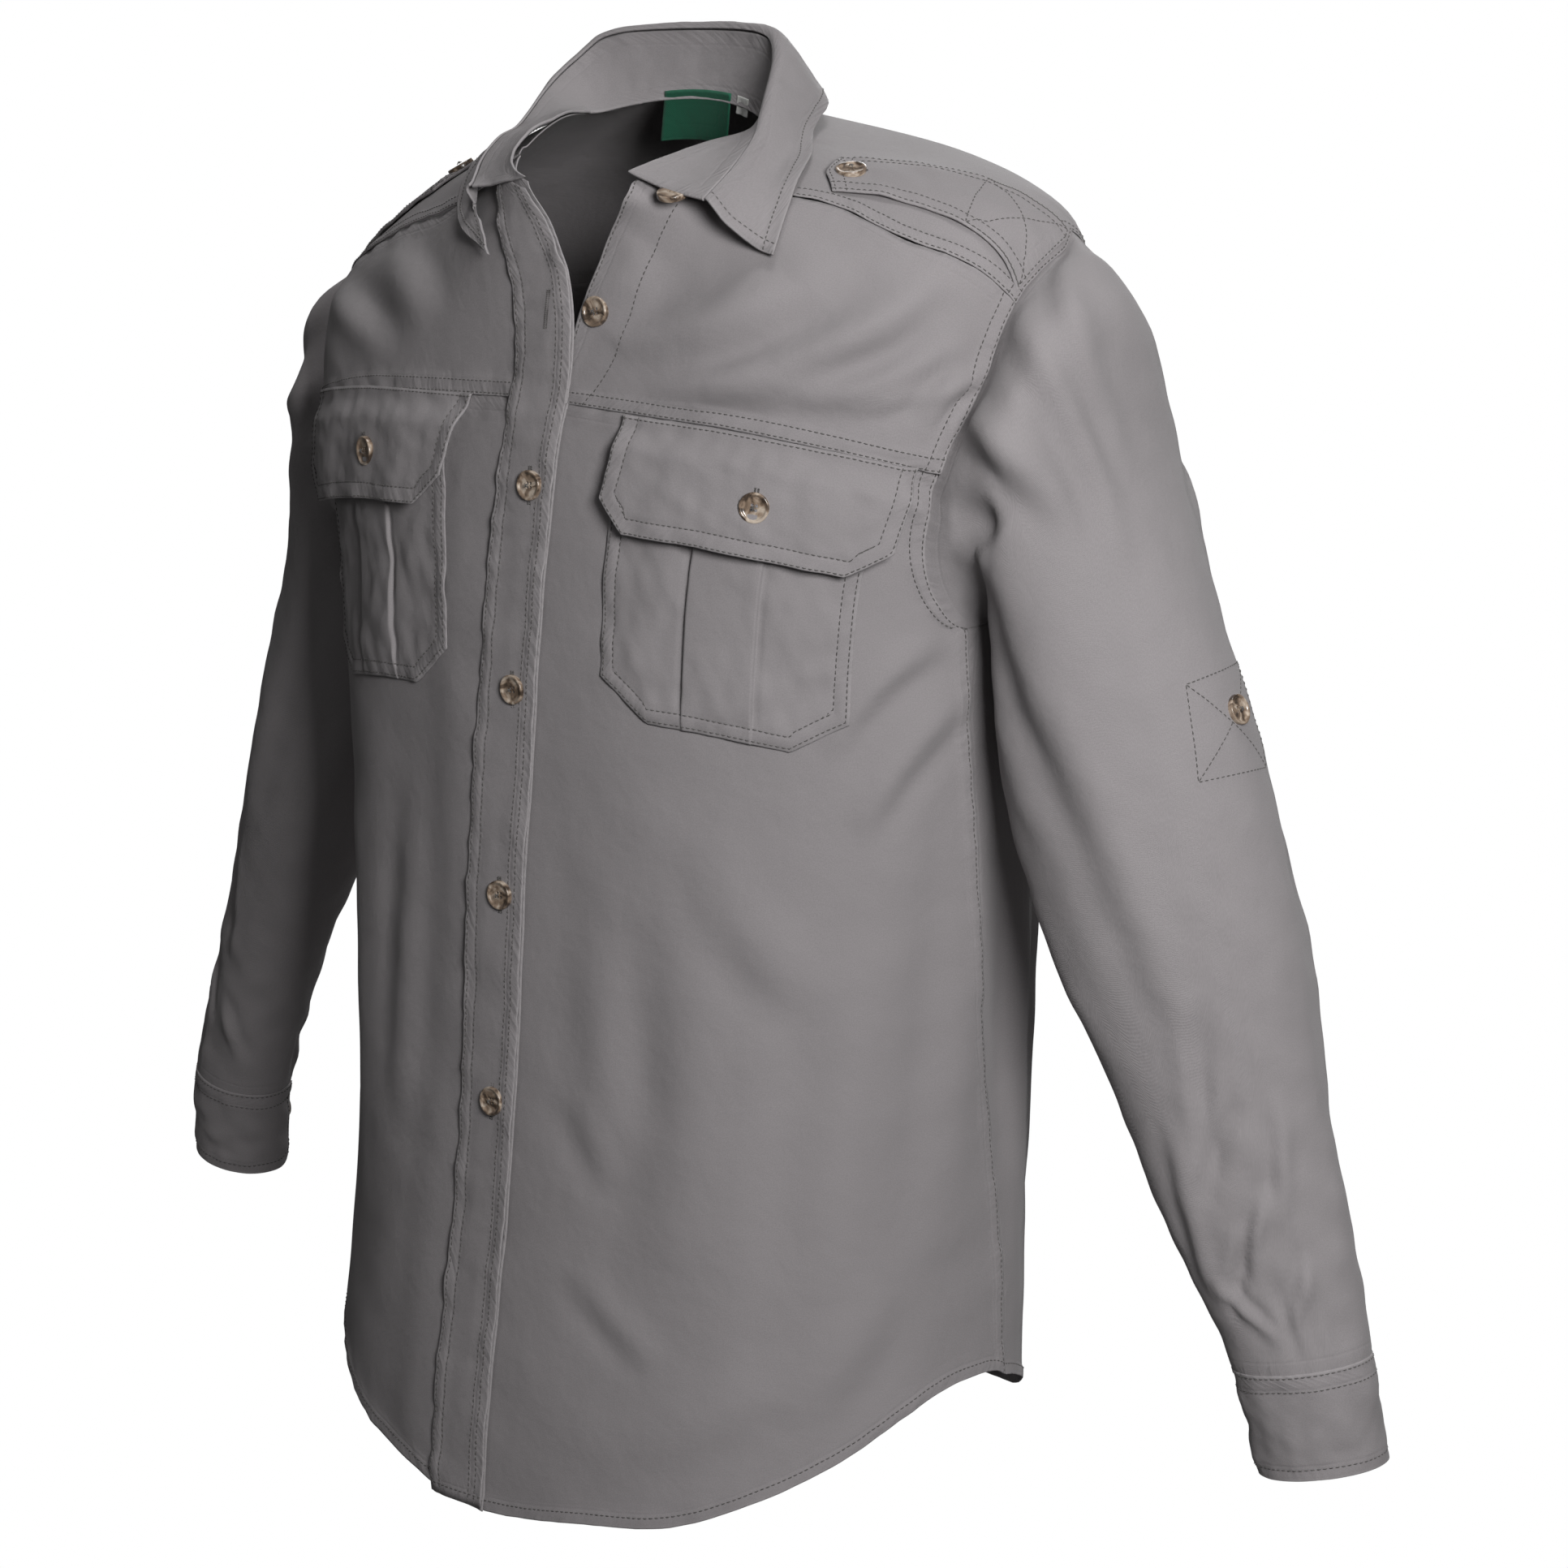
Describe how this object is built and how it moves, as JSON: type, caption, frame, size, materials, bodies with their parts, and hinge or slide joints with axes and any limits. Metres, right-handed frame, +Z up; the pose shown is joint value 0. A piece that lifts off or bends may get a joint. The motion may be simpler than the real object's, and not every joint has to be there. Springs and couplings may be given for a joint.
{
  "type": "safari shirt",
  "caption": "Long-sleeved safari shirt in grey twill, worn open at the neck, with chest pockets, shoulder straps and a curved hem.",
  "frame": {"origin": "on the middle plane, at the height where the neck seam crosses the shoulders, where a wearer carries the shirt", "axes": "+Z up, front towards -Y, the wearer's left towards +X"},
  "size_m": [0.8263, 0.2889, 0.7475],
  "materials": {
    "twill": "matt cotton twill, grey",
    "horn": "polished, marbled brown like horn",
    "greenLabel": "woven, dark green, no print",
    "whiteTape": "woven tape, white, no print"
  },
  "bodies": {
    "root": {"front_upper_left": "twill", "front_upper_right": "twill", "front_lower_left": "twill", "front_lower_right": "twill", "sleeve_left": "twill", "sleeve_right": "twill", "cuff_left": "twill", "cuff_right": "twill", "pocket_left": "twill", "pocket_right": "twill", "flap_left": "twill", "flap_right": "twill", "epaulette_left": "twill", "epaulette_right": "twill", "back": "twill", "yoke": "twill", "collar_stand": "twill", "collar_fall": "twill", "placket": "twill", "front_button_1": "horn", "front_button_2": "horn", "front_button_3": "horn", "front_button_4": "horn", "front_button_5": "horn", "stand_button": "horn", "flap_button_left": "horn", "flap_button_right": "horn", "epaulette_button_left": "horn", "epaulette_button_right": "horn", "sleeve_tab_button_left": "horn", "sleeve_tab_button_right": "horn", "cuff_button_left": "horn", "cuff_button_right": "horn", "neck_label": "greenLabel", "size_tab": "whiteTape"}
  },
  "joints": []
}
